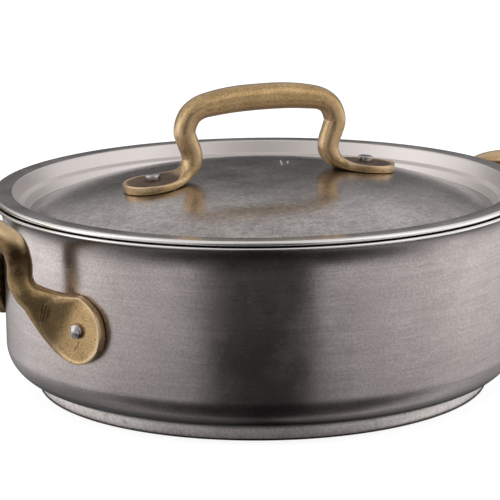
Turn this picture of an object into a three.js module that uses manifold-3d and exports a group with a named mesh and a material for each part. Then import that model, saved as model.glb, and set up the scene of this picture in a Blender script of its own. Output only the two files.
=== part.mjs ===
// Low round pot of stainless steel with a domed lid and cast brass loop handles
import * as THREE from "three";
import Module from "manifold-3d";
import { mergeVertices } from "three/addons/utils/BufferGeometryUtils.js";

const wasm = await Module();
wasm.setup();

// Lengths are in millimetres, angles in degrees and every share is a plain ratio.
// The pot stands on z = 0 with its axis on Z, and the side handles lie on the X axis.

// Pot body
const pot_radius = 121;
const sheet_thickness = 1;
const pot_corner_radius = 15;
const rim_height = 90.5;
const lip_reach = 6;
const lip_thickness = 1.1;
const lip_curve_radius = 4;
const lip_edge_radius = 0.5;
const lip_radius = pot_radius + lip_reach;

// Bonded base, whose plate ends where the pot's corner starts
const base_thickness = 7;
const base_plate_radius = pot_radius - pot_corner_radius;
const base_plate_thickness = 0.8;
const base_core_inset = 0.4;
const base_core_radius = base_plate_radius - base_core_inset;
const base_edge_chamfer = 0.4;

// Lid, measured in from the lip's edge and up or down from the rim
const lid_edge_inset = 1.6;
const lid_radius = lip_radius - lid_edge_inset;
const lid_flange_rise = 2.6;
const lid_flange_height = rim_height + lid_flange_rise;
const lid_flange_width = 9;
const lid_flange_inner_radius = lid_radius - lid_flange_width;
const lid_bead_radius = 1.25;
const lid_bead_width = 2.6;
const lid_wall_run = 2.5;
const lid_wall_drop = 6.1;
const lid_wall_foot_radius = lid_flange_inner_radius - lid_wall_run;
const lid_wall_foot_height = lid_flange_height - lid_wall_drop;
const lid_ledge_width = 2.9;
const lid_ledge_drop = 1;
const lid_ledge_inner_radius = lid_wall_foot_radius - lid_ledge_width;
const lid_ledge_inner_height = lid_wall_foot_height - lid_ledge_drop;
const lid_bevel_run = 2;
const lid_bevel_drop = 3.9;
const lid_dome_radius = lid_ledge_inner_radius - lid_bevel_run;
const lid_dome_edge_height = lid_ledge_inner_height - lid_bevel_drop;
const lid_dome_rise = 16;
const lid_dome_power = 3;

// Handles
const rivet_spacing = 107;
const foot_thickness = 3.8;
const foot_gap = 0.3;
const lid_foot_radius = 14.3;
const lid_bar_width = 12.6;
const lid_bar_depth = 12.2;
const lid_handle_rise = 36.6;
const side_foot_radius = 15.5;
const side_rivet_drop = 43.2;
const side_rivet_height = rim_height - side_rivet_drop;
const side_rivet_shift = 1.9;
const side_foot_tilt_degrees = 30;
const side_bar_width = 12.6;
const side_bar_depth = 12.2;
const side_bar_from_lip = 18.3;
const side_handle_reach = lip_reach + side_bar_from_lip;
const side_handle_rise = 43.6;
const side_bar_lean_degrees = 40;

// Rivets
const rivet_head_radius = 3.5;
const rivet_head_height = 2.6;
const rivet_head_edge = 0.6;
const rivet_shank_radius = 2.4;
const rivet_hole_radius = 2.7;
const rivet_tail_radius = 4.5;
const rivet_tail_height = 1.5;
const rivet_tail_gap = 0.4;

// Shares along each half of a handle, from the neck of the foot to the middle of the bar:
// distance from the middle over half the rivet spacing, rise over the handle's rise,
// half width over the bar's width, half depth over the bar's depth.
const lid_path_shares = [
  [0.765, 0.046, 0.62, 0.215],
  [0.714, 0.096, 0.52, 0.28],
  [0.668, 0.172, 0.46, 0.345],
  [0.645, 0.268, 0.445, 0.38],
  [0.656, 0.378, 0.44, 0.39],
  [0.687, 0.497, 0.445, 0.4],
  [0.711, 0.62, 0.455, 0.4],
  [0.692, 0.744, 0.465, 0.405],
  [0.645, 0.848, 0.475, 0.415],
  [0.56, 0.922, 0.485, 0.44],
  [0.445, 0.957, 0.49, 0.47],
  [0.3, 0.984, 0.5, 0.49],
  [0.15, 0.997, 0.5, 0.5],
  [0, 1, 0.5, 0.5],
];

// The same for a side handle, with the reach out from the foot over the handle's reach
// between the distance along and the rise. Last comes how much fuller the lower side is,
// over the bar's width.
const side_path_shares = [
  [0.807, 0.262, 0.197, 0.73, 0.3, 0.172],
  [0.776, 0.422, 0.289, 0.55, 0.39, 0.033],
  [0.759, 0.536, 0.37, 0.47, 0.43, 0],
  [0.731, 0.595, 0.493, 0.45, 0.43, 0],
  [0.713, 0.593, 0.665, 0.45, 0.43, 0],
  [0.667, 0.644, 0.828, 0.455, 0.44, 0],
  [0.519, 0.752, 0.913, 0.47, 0.46, 0],
  [0.315, 0.872, 0.963, 0.485, 0.48, 0],
  [0.148, 0.963, 0.991, 0.495, 0.495, 0],
  [0, 1, 1, 0.5, 0.5, 0],
];

// Where the stations of a round foot stand between its tip and its neck, over its radius
const foot_station_shares = [0.985, 0.92, 0.78, 0.5, 0.1, -0.4];
const even_foot_shares = [0, 0, 0, 0, 0, 0];
const side_foot_fullness_shares = [0, 0, 0, 0.01, 0.03, 0.215];
const foot_edge_power = 5;
const bar_edge_power = 2.3;

// Fineness of the faceted surfaces
const round_sides = 64;
const bar_sides = 14;
const rivet_sides = 16;
const corner_steps = 5;
const lip_steps = 3;
const dome_steps = 9;
const head_steps = 2;
const bead_steps = 4;
const path_steps = 2;

const quarter_turn = 90;
const half_turn = 180;

const steel = new THREE.MeshStandardMaterial({ color: 0x8a8683, metalness: 1, roughness: 0.35 });
const alloy = new THREE.MeshStandardMaterial({ color: 0xb9b5b0, metalness: 1, roughness: 0.55 });
const brass = new THREE.MeshStandardMaterial({ color: 0xb08d4f, metalness: 1, roughness: 0.4 });
const bright = new THREE.MeshStandardMaterial({ color: 0xb8b8ba, metalness: 1, roughness: 0.25 });

const radians = THREE.MathUtils.degToRad;

function arc(r, z, radius, from, to, steps) {
  const points = [];
  for (let i = 0; i <= steps; i += 1) {
    const a = radians(from + ((to - from) * i) / steps);
    points.push(new THREE.Vector2(r + radius * Math.cos(a), z + radius * Math.sin(a)));
  }
  return points;
}

function turned(points, sides) {
  const geometry = new THREE.LatheGeometry(points, sides);
  geometry.rotateX(Math.PI / 2);
  return facing_out(geometry);
}

function plain(geometry) {
  const bare = geometry.clone();
  bare.deleteAttribute("normal");
  bare.deleteAttribute("uv");
  return mergeVertices(bare);
}

// Turns a closed mesh the right way out, and drops the flat triangles left on the axis.
function facing_out(geometry) {
  const bare = plain(geometry);
  const p = bare.getAttribute("position");
  const index = bare.getIndex().array;
  const kept = [];
  let volume = 0;
  const a = new THREE.Vector3();
  const b = new THREE.Vector3();
  const c = new THREE.Vector3();
  for (let i = 0; i < index.length; i += 3) {
    const [i0, i1, i2] = [index[i], index[i + 1], index[i + 2]];
    if (i0 === i1 || i1 === i2 || i2 === i0) continue;
    kept.push(i0, i1, i2);
    a.fromBufferAttribute(p, i0);
    b.fromBufferAttribute(p, i1);
    c.fromBufferAttribute(p, i2);
    volume += a.dot(b.cross(c));
  }
  if (volume < 0) kept.reverse();
  bare.setIndex(kept);
  return bare;
}

function solid(geometry) {
  const bare = plain(geometry);
  return new wasm.Manifold(
    new wasm.Mesh({
      numProp: 3,
      vertProperties: new Float32Array(bare.getAttribute("position").array),
      triVerts: new Uint32Array(bare.getIndex().array),
    }),
  );
}

function back(body) {
  const mesh = body.getMesh();
  const geometry = new THREE.BufferGeometry();
  const position = new THREE.BufferAttribute(new Float32Array(mesh.vertProperties), 3);
  geometry.setAttribute("position", position);
  geometry.setIndex(Array.from(mesh.triVerts));
  return geometry;
}

function cut(geometry, tools) {
  let body = solid(geometry);
  for (const tool of tools) body = body.subtract(solid(tool));
  return back(body);
}

function power_sine(value, power) {
  return Math.sign(value) * Math.abs(value) ** (2 / power);
}

// Skins a row of sections. Each one has its middle, the direction of its width,
// its half width, its half depth and how square its corners are.
function lofted(stations, sides) {
  const positions = [];
  const index = [];
  const last = stations.length - 1;
  stations.forEach((station, k) => {
    const before = stations[Math.max(k - 1, 0)].middle;
    const after = stations[Math.min(k + 1, last)].middle;
    const along = after.clone().sub(before).normalize();
    const across = station.across.clone();
    across.addScaledVector(along, -along.dot(across)).normalize();
    const through = along.clone().cross(across);
    for (let i = 0; i < sides; i += 1) {
      const a = (2 * Math.PI * i) / sides;
      const w = station.half_width * power_sine(Math.cos(a), station.power);
      const d = station.half_depth * power_sine(Math.sin(a), station.power);
      const point = station.middle.clone();
      point.addScaledVector(across, w).addScaledVector(through, d);
      positions.push(point.x, point.y, point.z);
    }
  });
  for (let k = 0; k < last; k += 1) {
    for (let i = 0; i < sides; i += 1) {
      const a = k * sides + i;
      const b = k * sides + ((i + 1) % sides);
      index.push(a, b, b + sides, a, b + sides, a + sides);
    }
  }
  for (const k of [0, last]) {
    const middle = stations[k].middle;
    positions.push(middle.x, middle.y, middle.z);
    const centre = positions.length / 3 - 1;
    for (let i = 0; i < sides; i += 1) {
      const a = k * sides + i;
      const b = k * sides + ((i + 1) % sides);
      if (k === 0) index.push(centre, b, a);
      else index.push(centre, a, b);
    }
  }
  const geometry = new THREE.BufferGeometry();
  const position = new THREE.BufferAttribute(new Float32Array(positions), 3);
  geometry.setAttribute("position", position);
  geometry.setIndex(index);
  return facing_out(geometry);
}

// Finer rows between given rows of numbers, along a smooth curve
function smoothed(rows, steps) {
  const fine = [];
  const last = rows.length - 1;
  for (let k = 0; k < last; k += 1) {
    const p0 = rows[Math.max(k - 1, 0)];
    const p1 = rows[k];
    const p2 = rows[k + 1];
    const p3 = rows[Math.min(k + 2, last)];
    for (let i = 0; i < steps; i += 1) {
      const t = i / steps;
      const row = p1.map((value, j) => {
        const slope1 = (p2[j] - p0[j]) / 2;
        const slope2 = (p3[j] - p1[j]) / 2;
        const t2 = t * t;
        const t3 = t2 * t;
        const from = value * (2 * t3 - 3 * t2 + 1) + slope1 * (t3 - 2 * t2 + t);
        return from + p2[j] * (3 * t2 - 2 * t3) + slope2 * (t3 - t2);
      });
      fine.push(row);
    }
  }
  fine.push(rows[last]);
  return fine;
}

// The stations of a round foot, from its tip toward its neck. A foot may be fuller on the
// side that across points to, by shares of its radius.
function foot_stations(middle, toward, across, radius, half_depth, fullness_shares) {
  return foot_station_shares.map((share, i) => {
    const more = (fullness_shares[i] * radius) / 2;
    return {
      middle: middle.clone().addScaledVector(toward, share * -radius).addScaledVector(across, more),
      across,
      half_width: radius * Math.sqrt(1 - share * share) + more,
      half_depth,
      power: foot_edge_power,
    };
  });
}

// Mirrors half a handle in Y or X and joins it to the first half.
function whole(half, axis) {
  const other = half.slice(0, -1).reverse().map((station) => {
    const middle = station.middle.clone();
    const across = station.across.clone();
    middle[axis] *= -1;
    across[axis] *= -1;
    return { ...station, middle, across };
  });
  return [...half, ...other];
}

function dome_height(r) {
  const share = Math.min(r / lid_dome_radius, 1);
  return lid_dome_edge_height + lid_dome_rise * (1 - share ** lid_dome_power);
}

// Rivet along its own Z axis: the head stands on z = 0 and the shank goes down to the tail.
function rivet(grip) {
  const points = [
    new THREE.Vector2(0, rivet_head_height),
    ...arc(
      rivet_head_radius - rivet_head_edge,
      rivet_head_height - rivet_head_edge,
      rivet_head_edge,
      quarter_turn,
      0,
      head_steps,
    ),
    new THREE.Vector2(rivet_head_radius, 0),
    new THREE.Vector2(rivet_shank_radius, 0),
    new THREE.Vector2(rivet_shank_radius, -grip),
    new THREE.Vector2(rivet_tail_radius, -grip),
    new THREE.Vector2(rivet_tail_radius, -grip - rivet_tail_height / 3),
    new THREE.Vector2(rivet_tail_radius / 2, -grip - rivet_tail_height),
    new THREE.Vector2(0, -grip - rivet_tail_height),
  ];
  return turned(points, rivet_sides);
}

function placed(name, geometry, material, matrix) {
  const mesh = new THREE.Mesh(geometry, material);
  mesh.name = name;
  if (matrix) mesh.applyMatrix4(matrix);
  return mesh;
}

// The frame of a foot: its middle on the surface, Z out of the surface
function surface_frame(origin, out, along) {
  const side = out.clone().cross(along).normalize();
  const matrix = new THREE.Matrix4().makeBasis(along, side, out);
  return matrix.setPosition(origin);
}

const rivet_hole_length = pot_radius / 4;

function hole_at(frame) {
  const tool = new THREE.CylinderGeometry(
    rivet_hole_radius,
    rivet_hole_radius,
    rivet_hole_length,
    rivet_sides,
  );
  tool.rotateX(Math.PI / 2);
  tool.applyMatrix4(frame);
  return tool;
}

// Pot body
const pot_inner_radius = pot_radius - sheet_thickness;
const corner_middle_radius = pot_radius - pot_corner_radius;
const corner_middle_height = base_thickness + pot_corner_radius;
const lip_middle_radius = pot_radius + lip_curve_radius;
const lip_middle_height = rim_height - lip_thickness - lip_curve_radius;
const lip_edge_middle = lip_radius - lip_edge_radius;
const lip_curve = [lip_middle_radius, lip_middle_height];

const pot_profile = [
  new THREE.Vector2(0, base_thickness),
  ...arc(
    corner_middle_radius,
    corner_middle_height,
    pot_corner_radius,
    -quarter_turn,
    0,
    corner_steps,
  ),
  ...arc(...lip_curve, lip_curve_radius, half_turn, quarter_turn, lip_steps),
  new THREE.Vector2(lip_edge_middle, rim_height - lip_thickness),
  new THREE.Vector2(lip_radius, rim_height - lip_thickness + lip_edge_radius / 2),
  new THREE.Vector2(lip_radius, rim_height - lip_edge_radius),
  new THREE.Vector2(lip_edge_middle, rim_height),
  ...arc(...lip_curve, lip_curve_radius + lip_thickness, quarter_turn, half_turn, lip_steps),
  ...arc(
    corner_middle_radius,
    corner_middle_height,
    pot_corner_radius - sheet_thickness,
    0,
    -quarter_turn,
    corner_steps,
  ),
  new THREE.Vector2(0, base_thickness + sheet_thickness),
];
pot_profile.forEach((point) => {
  if (point.x > pot_inner_radius - lip_thickness && point.x < pot_inner_radius) {
    if (point.y > corner_middle_height) point.x = pot_inner_radius;
  }
});

// Side feet: the angle between the handle's middle and each rivet, seen from above
const side_foot_reach = pot_radius + foot_thickness / 2;
const side_foot_angle = Math.asin(rivet_spacing / 2 / side_foot_reach);

function side_foot(side, sign) {
  const angle = side_foot_angle * sign;
  const out = new THREE.Vector3(Math.cos(angle), Math.sin(angle), 0);
  const inward = new THREE.Vector3(Math.sin(angle), -Math.cos(angle), 0).multiplyScalar(sign);
  const up = new THREE.Vector3(0, 0, 1);
  const tilt = radians(side_foot_tilt_degrees);
  const toward = inward.clone().multiplyScalar(Math.cos(tilt));
  toward.addScaledVector(up, Math.sin(tilt));
  if (side < 0) {
    for (const v of [out, inward, toward]) v.applyAxisAngle(up, Math.PI);
  }
  return { out, inward, toward, up };
}

// A side rivet sits a little farther from the handle's middle than the middle of its foot.
function side_rivet_frame(side, sign, radius) {
  const { out, inward, up } = side_foot(side, sign);
  const origin = out.clone().multiplyScalar(radius).addScaledVector(up, side_rivet_height);
  origin.addScaledVector(inward, -side_rivet_shift);
  return surface_frame(origin, out, up);
}

function side_handle(side) {
  const { out, toward } = side_foot(1, 1);
  const across = out.clone().cross(toward);
  const middle = out.clone().multiplyScalar(side_foot_reach);
  middle.z = side_rivet_height;
  const lean = radians(side_bar_lean_degrees);
  const bar_across = new THREE.Vector3(Math.sin(lean), 0, -Math.cos(lean));
  const half_depth = foot_thickness / 2 + foot_gap;
  const foot_middle = middle.clone().addScaledVector(out, -foot_gap);
  const half = foot_stations(
    foot_middle,
    toward,
    across,
    side_foot_radius,
    half_depth,
    side_foot_fullness_shares,
  );
  const rows = smoothed(side_path_shares, path_steps);
  rows.forEach(([along, reach, rise, width, depth, fullness], i) => {
    const share = Math.min((2 * i) / rows.length, 1);
    const more = (fullness * side_bar_width) / 2;
    const point = new THREE.Vector3(
      middle.x + reach * (pot_radius + side_handle_reach - middle.x),
      (along * rivet_spacing) / 2,
      middle.z + rise * side_handle_rise,
    );
    half.push({
      middle: point.addScaledVector(across, more),
      across: across.clone().lerp(bar_across, share),
      half_width: width * side_bar_width + more,
      half_depth: depth * side_bar_depth,
      power: i < 2 ? (foot_edge_power + bar_edge_power) / 2 : bar_edge_power,
    });
  });
  let geometry = lofted(whole(half, "y"), bar_sides);
  const wall = new THREE.CylinderGeometry(
    pot_radius + foot_gap,
    pot_radius + foot_gap,
    3 * rim_height,
    2 * round_sides,
  );
  wall.rotateX(Math.PI / 2);
  const tools = [wall];
  for (const sign of [1, -1]) tools.push(hole_at(side_rivet_frame(1, sign, pot_radius)));
  geometry = cut(geometry, tools);
  if (side < 0) geometry.rotateZ(Math.PI);
  return geometry;
}

// Lid, drawn from the middle of its top out to the edge and back along the underside
const lid_under_height = lid_flange_height - sheet_thickness;
const lid_bead_bottom = rim_height;
const lid_bead_middle = lid_radius - lid_bead_radius;
const lid_bead_inner = lid_radius - lid_bead_width;
const lid_corner_radius = sheet_thickness / 2;

function dome_points(drop, inward) {
  const points = [];
  for (let i = 0; i < dome_steps; i += 1) {
    const r = (lid_dome_radius * Math.sqrt(i / dome_steps + i * (i / dome_steps ** 2))) / Math.SQRT2;
    points.push(new THREE.Vector2(r, dome_height(r) - drop));
  }
  return inward ? points.reverse() : points;
}

const lid_profile = [
  ...dome_points(0, false),
  new THREE.Vector2(lid_dome_radius, lid_dome_edge_height),
  new THREE.Vector2(lid_ledge_inner_radius, lid_ledge_inner_height),
  new THREE.Vector2(lid_wall_foot_radius, lid_wall_foot_height),
  new THREE.Vector2(
    lid_flange_inner_radius - lid_corner_radius,
    lid_flange_height - lid_corner_radius,
  ),
  new THREE.Vector2(lid_flange_inner_radius, lid_flange_height),
  ...arc(
    lid_bead_middle,
    lid_flange_height - lid_bead_radius,
    lid_bead_radius,
    quarter_turn,
    -quarter_turn / 2,
    bead_steps,
  ),
  new THREE.Vector2(lid_bead_middle, lid_bead_bottom),
  new THREE.Vector2(lid_bead_inner + lid_corner_radius, lid_bead_bottom),
  new THREE.Vector2(lid_bead_inner, lid_bead_bottom + lid_corner_radius),
  new THREE.Vector2(lid_bead_inner, lid_under_height),
  new THREE.Vector2(lid_flange_inner_radius + sheet_thickness / 2, lid_under_height),
  new THREE.Vector2(
    lid_wall_foot_radius + sheet_thickness,
    lid_wall_foot_height - sheet_thickness,
  ),
  new THREE.Vector2(
    lid_ledge_inner_radius + sheet_thickness,
    lid_ledge_inner_height - sheet_thickness,
  ),
  new THREE.Vector2(
    lid_dome_radius + sheet_thickness / 2,
    lid_dome_edge_height - sheet_thickness,
  ),
  ...dome_points(sheet_thickness, true),
];

// Lid handle, whose feet follow the slope of the dome at the rivets
const half_spacing = rivet_spacing / 2;
const dome_step = sheet_thickness / 4;
const dome_slope = Math.atan2(
  dome_height(half_spacing - dome_step) - dome_height(half_spacing + dome_step),
  2 * dome_step,
);

function lid_rivet_frame(sign, lift) {
  const out = new THREE.Vector3(sign * Math.sin(dome_slope), 0, Math.cos(dome_slope));
  const along = new THREE.Vector3(0, 1, 0);
  const origin = new THREE.Vector3(sign * half_spacing, 0, dome_height(half_spacing));
  return surface_frame(origin.addScaledVector(out, lift), out, along);
}

function lid_handle() {
  const out = new THREE.Vector3(Math.sin(dome_slope), 0, Math.cos(dome_slope));
  const toward = new THREE.Vector3(-Math.cos(dome_slope), 0, Math.sin(dome_slope));
  const across = out.clone().cross(toward);
  const middle = new THREE.Vector3(half_spacing, 0, dome_height(half_spacing));
  middle.addScaledVector(out, foot_thickness / 2);
  const half_depth = foot_thickness / 2 + foot_gap;
  const foot_middle = middle.clone().addScaledVector(out, -foot_gap);
  const half = foot_stations(
    foot_middle,
    toward,
    across,
    lid_foot_radius,
    half_depth,
    even_foot_shares,
  );
  smoothed(lid_path_shares, path_steps).forEach(([along, rise, width, depth], i) => {
    half.push({
      middle: new THREE.Vector3(along * half_spacing, 0, middle.z + rise * lid_handle_rise),
      across,
      half_width: width * lid_bar_width,
      half_depth: depth * lid_bar_depth,
      power: i < 2 ? (foot_edge_power + bar_edge_power) / 2 : bar_edge_power,
    });
  });
  const dome_tool = turned(
    [
      new THREE.Vector2(0, 0),
      new THREE.Vector2(lid_dome_radius, 0),
      new THREE.Vector2(lid_dome_radius, lid_dome_edge_height + foot_gap),
      ...dome_points(-foot_gap, true),
    ],
    2 * round_sides,
  );
  const holes = [1, -1].map((sign) => hole_at(lid_rivet_frame(sign, 0)));
  return cut(lofted(whole(half, "x"), bar_sides), [dome_tool, ...holes]);
}

const group = new THREE.Group();
group.name = "pot";

const wall_holes = [];
for (const side of [1, -1]) {
  for (const sign of [1, -1]) wall_holes.push(hole_at(side_rivet_frame(side, sign, pot_radius)));
}
group.add(placed("pot_body", cut(turned(pot_profile, round_sides), wall_holes), steel));

const core_profile = [
  new THREE.Vector2(0, base_plate_thickness),
  new THREE.Vector2(base_core_radius, base_plate_thickness),
  new THREE.Vector2(base_core_radius, base_thickness - base_edge_chamfer),
  new THREE.Vector2(base_core_radius - base_edge_chamfer, base_thickness),
  new THREE.Vector2(0, base_thickness),
];
group.add(placed("base_core", turned(core_profile, round_sides), alloy));

const plate_profile = [
  new THREE.Vector2(0, 0),
  new THREE.Vector2(base_plate_radius - base_edge_chamfer, 0),
  new THREE.Vector2(base_plate_radius, base_edge_chamfer),
  new THREE.Vector2(base_plate_radius, base_plate_thickness),
  new THREE.Vector2(0, base_plate_thickness),
];
group.add(placed("base_plate", turned(plate_profile, round_sides), steel));

const side_names = [
  [1, "right"],
  [-1, "left"],
];
const side_rivet_grip = foot_thickness + sheet_thickness + rivet_tail_gap;
for (const [side, side_name] of side_names) {
  group.add(placed(`side_handle_${side_name}`, side_handle(side), brass));
  for (const [sign, sign_name] of [
    [1, "a"],
    [-1, "b"],
  ]) {
    const frame = side_rivet_frame(side, sign, pot_radius + foot_thickness);
    const name = `side_rivet_${side_name}_${sign_name}`;
    group.add(placed(name, rivet(side_rivet_grip), bright, frame));
  }
}

const lid = new THREE.Group();
lid.name = "lid";
const lid_holes = [1, -1].map((sign) => hole_at(lid_rivet_frame(sign, 0)));
lid.add(placed("lid_plate", cut(turned(lid_profile, round_sides), lid_holes), steel));
lid.add(placed("lid_handle", lid_handle(), brass));
const lid_rivet_grip = foot_thickness + sheet_thickness + rivet_tail_gap;
for (const [sign, sign_name] of [
  [1, "right"],
  [-1, "left"],
]) {
  const frame = lid_rivet_frame(sign, foot_thickness);
  lid.add(placed(`lid_rivet_${sign_name}`, rivet(lid_rivet_grip), bright, frame));
}
group.add(lid);

export default group;
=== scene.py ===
import math

import bpy
import numpy as np
from mathutils import Matrix, Vector


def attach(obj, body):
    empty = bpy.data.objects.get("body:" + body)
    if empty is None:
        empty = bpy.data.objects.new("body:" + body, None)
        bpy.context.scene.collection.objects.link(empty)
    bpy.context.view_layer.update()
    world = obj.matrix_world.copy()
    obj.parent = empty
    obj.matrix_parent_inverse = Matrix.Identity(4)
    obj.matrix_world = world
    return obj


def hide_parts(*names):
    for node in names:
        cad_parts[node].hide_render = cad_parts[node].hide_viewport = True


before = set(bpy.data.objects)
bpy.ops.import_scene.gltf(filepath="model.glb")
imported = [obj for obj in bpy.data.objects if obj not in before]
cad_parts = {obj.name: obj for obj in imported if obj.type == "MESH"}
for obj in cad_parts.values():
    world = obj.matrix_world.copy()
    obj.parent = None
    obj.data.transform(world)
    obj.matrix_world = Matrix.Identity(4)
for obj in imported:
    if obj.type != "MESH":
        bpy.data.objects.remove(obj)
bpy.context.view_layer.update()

# Lengths are written in millimetres, as in the part's source, and become metres in the meshes.
MM = 0.001
TURN = math.radians(22.9)  # how far the pot is turned to the left of the camera's line

POT_RADIUS = 121.0
SHEET = 1.0
CORNER_RADIUS = 15.0
RIM_HEIGHT = 90.5
LIP_RADIUS = 127.0
LIP_THICKNESS = 1.1
FLARE_START = 76.0
BASE_PLATE_RADIUS = 106.0
BASE_PLATE_THICKNESS = 0.8
BASE_CORE_RADIUS = 105.6
BASE_THICKNESS = 7.0

LID_RADIUS = 125.4
FLANGE_HEIGHT = 93.1
FLANGE_INNER = 116.4
BEAD_RADIUS = 1.25
BEAD_WIDTH = 2.6
WALL_FOOT = (113.9, 87.0)
LEDGE_INNER = (111.0, 86.0)
DOME_EDGE = (109.0, 82.1)
DOME_RISE = 16.0

RIVET_SPACING = 107.0
FOOT_THICKNESS = 3.8
FOOT_GAP = 0.3
LID_FOOT_RADIUS = 14.3
LID_HANDLE_RISE = 36.6
SIDE_FOOT_RADIUS = 15.5
SIDE_RIVET_HEIGHT = 47.3
SIDE_RIVET_SHIFT = 1.9
SIDE_FOOT_TILT = math.radians(30)
SIDE_REACH = 24.3
SIDE_RISE = 43.6
SIDE_LEAN = math.radians(40)
BAR_WIDTH = 12.6
BAR_DEPTH = 12.2
RIVET_RADIUS = 3.5
RIVET_HEIGHT = 2.6
SHANK_RADIUS = 2.4
TAIL_RADIUS = 4.5
TAIL_HEIGHT = 1.5
TAIL_GAP = 0.4
LID_SINK = 0.4  # how deep the face of a foot is sunk inside its rim
SIDE_SINK = 0.25
SIDE_CROWN = 1.6  # twice how far a rivet's head falls from its middle to its rounded edge
LID_CROWN = 0.0

# How square a handle's section is: 2 is an ellipse, and more is squarer.
FOOT_POWER = 8.0
NECK_POWER = 3.4
BAR_POWER = 2.3

# Points round each section of a handle, and round each turned piece
HANDLE_SIDES = 44
SHELL_SIDES = 256
DISC_SIDES = 192
RIVET_SIDES = 40

# Edges sharper than this many degrees stay sharp.
SHARP_CAST = 55
SHARP_TURNED = 50
SHARP_RIVET = 40

# The fitted camera: elevation, yaw, pitch and roll in degrees, then metres, pixels, millimetres
CAMERA_ANGLES = (15.512068, 0.26383955, 2.84378752, 0.51954288)
CAMERA_DISTANCE = 1.210
FOCAL_PIXELS = 2534.0195
PHOTO_PIXELS = 500
SENSOR_WIDTH = 36

# Along each half of a handle: distance from the middle, (reach,) rise, half width, half depth.
LID_PATH = (
    (0.765, 0.046, 0.62, 0.215), (0.714, 0.096, 0.52, 0.28), (0.668, 0.172, 0.46, 0.345),
    (0.645, 0.268, 0.445, 0.38), (0.656, 0.378, 0.44, 0.39), (0.687, 0.497, 0.445, 0.4),
    (0.711, 0.62, 0.455, 0.4), (0.692, 0.744, 0.465, 0.405), (0.645, 0.848, 0.475, 0.415),
    (0.56, 0.922, 0.485, 0.44), (0.445, 0.957, 0.49, 0.47), (0.3, 0.984, 0.5, 0.49),
    (0.15, 0.997, 0.5, 0.5), (0.0, 1.0, 0.5, 0.5),
)
SIDE_PATH = (
    (0.807, 0.262, 0.197, 0.73, 0.3), (0.776, 0.422, 0.289, 0.55, 0.39),
    (0.759, 0.536, 0.37, 0.47, 0.43), (0.731, 0.595, 0.493, 0.45, 0.43),
    (0.713, 0.593, 0.665, 0.45, 0.43), (0.667, 0.644, 0.828, 0.455, 0.44),
    (0.519, 0.752, 0.913, 0.47, 0.46), (0.315, 0.872, 0.963, 0.485, 0.48),
    (0.148, 0.963, 0.991, 0.495, 0.495), (0.0, 1.0, 1.0, 0.5, 0.5),
)
# How much fuller the lower side of a side foot is: (share of the foot, millimetres), then
# millimetres at the first two places of the path above.
FULLNESS = ((-0.4, 3.33), (0.1, 0.46), (0.5, 0.16), (0.78, 0.0), (1.0, 0.0))
FULLNESS_PATH = (2.17, 0.41)

# Nicks in the front foot of the left handle: start, end, darkness.
NICKS = (
    ((-124.1, -43.1, 50.2), (-123.7, -46.7, 58.2), 0.7),
    ((-123.1, -43.5, 49.8), (-122.4, -47.1, 57.8), 0.7),
    ((-122.0, -44.4, 50.3), (-121.4, -47.3, 56.8), 0.6),
    ((-121.2, -45.5, 51.8), (-120.9, -47.1, 55.3), 0.5),
    ((-112.1, -54.3, 38.4), (-110.9, -56.7, 42.5), 0.6),
)


# Camera

def make_camera():
    """The camera that was fitted to the photograph's outlines, turned to the part's frame."""
    elevation, yaw, pitch, roll = (math.radians(a) for a in CAMERA_ANGLES)
    place = Vector((0, -math.cos(elevation), math.sin(elevation))) * CAMERA_DISTANCE
    forward = -place.normalized()
    right = Vector((1, 0, 0))
    up = right.cross(forward)
    turn = Matrix.Rotation(yaw, 3, up)
    forward, right = turn @ forward, turn @ right
    turn = Matrix.Rotation(pitch, 3, right)
    forward, up = turn @ forward, turn @ up
    turn = Matrix.Rotation(roll, 3, forward)
    right, up = turn @ right, turn @ up
    axes = Matrix((right, up, -forward)).transposed().to_4x4()
    camera = bpy.data.objects.new("camera", bpy.data.cameras.new("camera"))
    bpy.context.scene.collection.objects.link(camera)
    camera.matrix_world = Matrix.Rotation(-TURN, 4, "Z") @ Matrix.Translation(place) @ axes
    camera.data.sensor_width = SENSOR_WIDTH
    camera.data.lens = FOCAL_PIXELS / PHOTO_PIXELS * SENSOR_WIDTH
    camera.data.clip_start, camera.data.clip_end = 0.05, 50
    bpy.context.scene.camera = camera


# Meshes

def build(name, vertices, faces, material, body, nodes, sharp, marks=None):
    """One piece, in place of its solids. Marks are numbers per point that its material reads."""
    mesh = bpy.data.meshes.new(name)
    mesh.from_pydata([tuple(v) for v in np.asarray(vertices) * MM], [], faces)
    mesh.validate()
    mesh.shade_smooth()
    mesh.set_sharp_from_angle(angle=math.radians(sharp))
    for key, values in (marks or {}).items():
        mark = mesh.attributes.new(key, "FLOAT", "POINT")
        mark.data.foreach_set("value", np.asarray(values, np.float32))
    piece = bpy.data.objects.new(name, mesh)
    bpy.context.scene.collection.objects.link(piece)
    piece.data.materials.append(material)
    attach(piece, body)
    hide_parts(*nodes)


def arc(r, z, radius, start, end, steps):
    """Points on an arc about (r, z), from one angle to another, in degrees."""
    angles = np.radians(np.linspace(start, end, steps + 1))
    return [(r + radius * math.cos(a), z + radius * math.sin(a)) for a in angles]


NEARLY_STRAIGHT = math.radians(89)  # half the angle of a corner that isn't worth rounding
CORNER_SHARE = 0.45  # the most of a stretch that one rounded corner takes


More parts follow.
